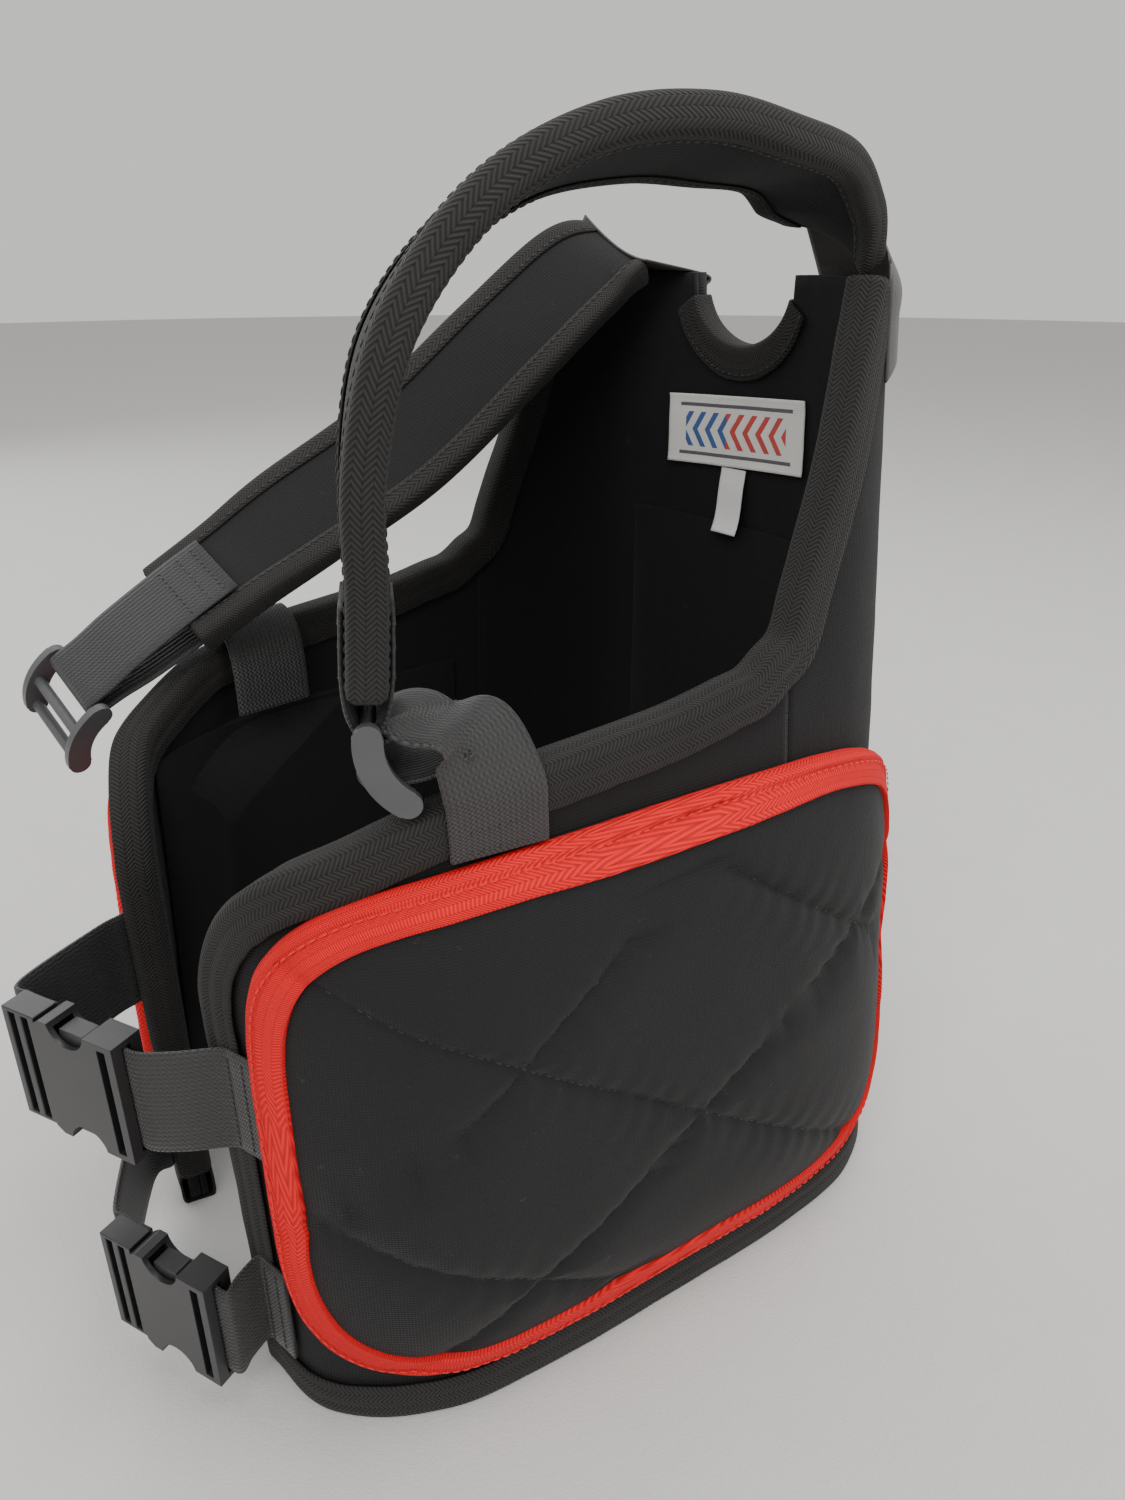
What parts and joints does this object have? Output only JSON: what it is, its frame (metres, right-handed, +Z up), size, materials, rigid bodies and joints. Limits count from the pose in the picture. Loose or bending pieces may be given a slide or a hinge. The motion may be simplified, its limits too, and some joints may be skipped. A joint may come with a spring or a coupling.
{
  "type": "rib and chest protector vest",
  "caption": "Open-fronted foam body protector with quilted rib pads, padded shoulder straps on ladder locks and side-release front buckles.",
  "frame": {"origin": "on the floor under the middle of the back hem, at the middle of the laminate", "axes": "+Z up along the wearer's spine, +X the wearer's left, -Y the open front"},
  "size_m": [0.2362, 0.3124, 0.3856],
  "materials": {
    "outer_neoprene": "matte knit",
    "smooth_lining": "matte",
    "rib_plate": "matte",
    "quilted_cover": "matte knit",
    "red_tape": "herringbone weave",
    "dark_tape": "herringbone weave",
    "smooth_patch": "satin",
    "webbing": "ribbed weave",
    "buckle_plastic": "satin moulded",
    "lock_plastic": "satin moulded",
    "label_cloth": "satin woven"
  },
  "bodies": {
    "vest": {"side_shell_left": "outer_neoprene", "side_lining_left": "smooth_lining", "rib_plate_left": "rib_plate", "rib_pad_left": "quilted_cover", "rib_tape_left": "red_tape", "inner_pad_left": "smooth_lining", "arm_binding_left": "dark_tape", "shoulder_patch_left": "smooth_patch", "tab_webbing_left": "webbing", "side_shell_right": "outer_neoprene", "side_lining_right": "smooth_lining", "rib_plate_right": "rib_plate", "rib_pad_right": "quilted_cover", "rib_tape_right": "red_tape", "inner_pad_right": "smooth_lining", "arm_binding_right": "dark_tape", "shoulder_patch_right": "smooth_patch", "tab_webbing_right": "webbing", "back_shell": "outer_neoprene", "back_lining": "smooth_lining", "back_pad": "smooth_lining", "hem_binding": "dark_tape", "neck_binding": "dark_tape", "label_patch": "label_cloth", "care_tag": "label_cloth", "buckle_female_upper": "buckle_plastic", "female_webbing_upper": "webbing", "male_webbing_upper": "webbing", "buckle_female_lower": "buckle_plastic", "female_webbing_lower": "webbing", "male_webbing_lower": "webbing"},
    "strap_left": {"strap_pad_left": "outer_neoprene", "strap_outer_binding_left": "dark_tape", "strap_neck_binding_left": "dark_tape", "strap_webbing_left": "webbing"},
    "lock_left": {"ladder_lock_left": "lock_plastic"},
    "strap_right": {"strap_pad_right": "outer_neoprene", "strap_outer_binding_right": "dark_tape", "strap_neck_binding_right": "dark_tape", "strap_webbing_right": "webbing"},
    "lock_right": {"ladder_lock_right": "lock_plastic"},
    "male_upper": {"buckle_male_upper": "buckle_plastic"},
    "arm_upper_top": {"squeeze_arm_upper_top": "buckle_plastic"},
    "arm_upper_bottom": {"squeeze_arm_upper_bottom": "buckle_plastic"},
    "male_lower": {"buckle_male_lower": "buckle_plastic"},
    "arm_lower_top": {"squeeze_arm_lower_top": "buckle_plastic"},
    "arm_lower_bottom": {"squeeze_arm_lower_bottom": "buckle_plastic"}
  },
  "joints": [
    {"name": "left_strap_lift", "type": "hinge", "parent": "vest", "child": "strap_left", "pos_m": [0.0531, -0.0237, 0.3418], "axis": [0.8774, -0.4798, 0], "range_deg": [-10, 0], "deforming": ["tab_webbing_left"]},
    {"name": "right_strap_lift", "type": "hinge", "parent": "vest", "child": "strap_right", "pos_m": [-0.0531, -0.0237, 0.3418], "axis": [0.8774, 0.4798, 0], "range_deg": [-12, 0]},
    {"name": "left_lock_tilt", "type": "hinge", "parent": "strap_left", "child": "lock_left", "pos_m": [0.061, -0.21275, 0.23703], "axis": [0.8826, -0.4688, 0.0352], "range_deg": [-3, 8]},
    {"name": "right_lock_swing", "type": "hinge", "parent": "strap_right", "child": "lock_right", "pos_m": [-0.0825, -0.25207, 0.20996], "axis": [0.9208, 0.1042, -0.3758], "range_deg": [-15, 3]},
    {"name": "upper_buckle_slide", "type": "slide", "parent": "vest", "child": "male_upper", "axis": [-0.8988, -0.4384, 0], "range_m": [0, 0.028], "deforming": ["male_webbing_upper"]},
    {"name": "upper_top_squeeze", "type": "hinge", "parent": "male_upper", "child": "arm_upper_top", "pos_m": [0.00059, -0.29537, 0.1315], "axis": [0.4384, -0.8988, 0], "range_deg": [-7, 0], "stiffness_Nm_per_rad": 0.02},
    {"name": "upper_bottom_squeeze", "type": "hinge", "parent": "male_upper", "child": "arm_upper_bottom", "pos_m": [0.00059, -0.29537, 0.1065], "axis": [0.4384, -0.8988, 0], "range_deg": [0, 7], "stiffness_Nm_per_rad": 0.02},
    {"name": "lower_buckle_slide", "type": "slide", "parent": "vest", "child": "male_lower", "axis": [-0.9135, -0.4067, 0], "range_m": [0, 0.028], "deforming": ["male_webbing_lower"]},
    {"name": "lower_top_squeeze", "type": "hinge", "parent": "male_lower", "child": "arm_lower_top", "pos_m": [0.02214, -0.28741, 0.0485], "axis": [0.4067, -0.9135, 0], "range_deg": [-7, 0], "stiffness_Nm_per_rad": 0.02},
    {"name": "lower_bottom_squeeze", "type": "hinge", "parent": "male_lower", "child": "arm_lower_bottom", "pos_m": [0.02214, -0.28741, 0.0235], "axis": [0.4067, -0.9135, 0], "range_deg": [0, 7], "stiffness_Nm_per_rad": 0.02}
  ],
  "couplings": [
    {"joint": "upper_bottom_squeeze", "follows": "upper_top_squeeze", "ratio": -1},
    {"joint": "lower_bottom_squeeze", "follows": "lower_top_squeeze", "ratio": -1}
  ]
}
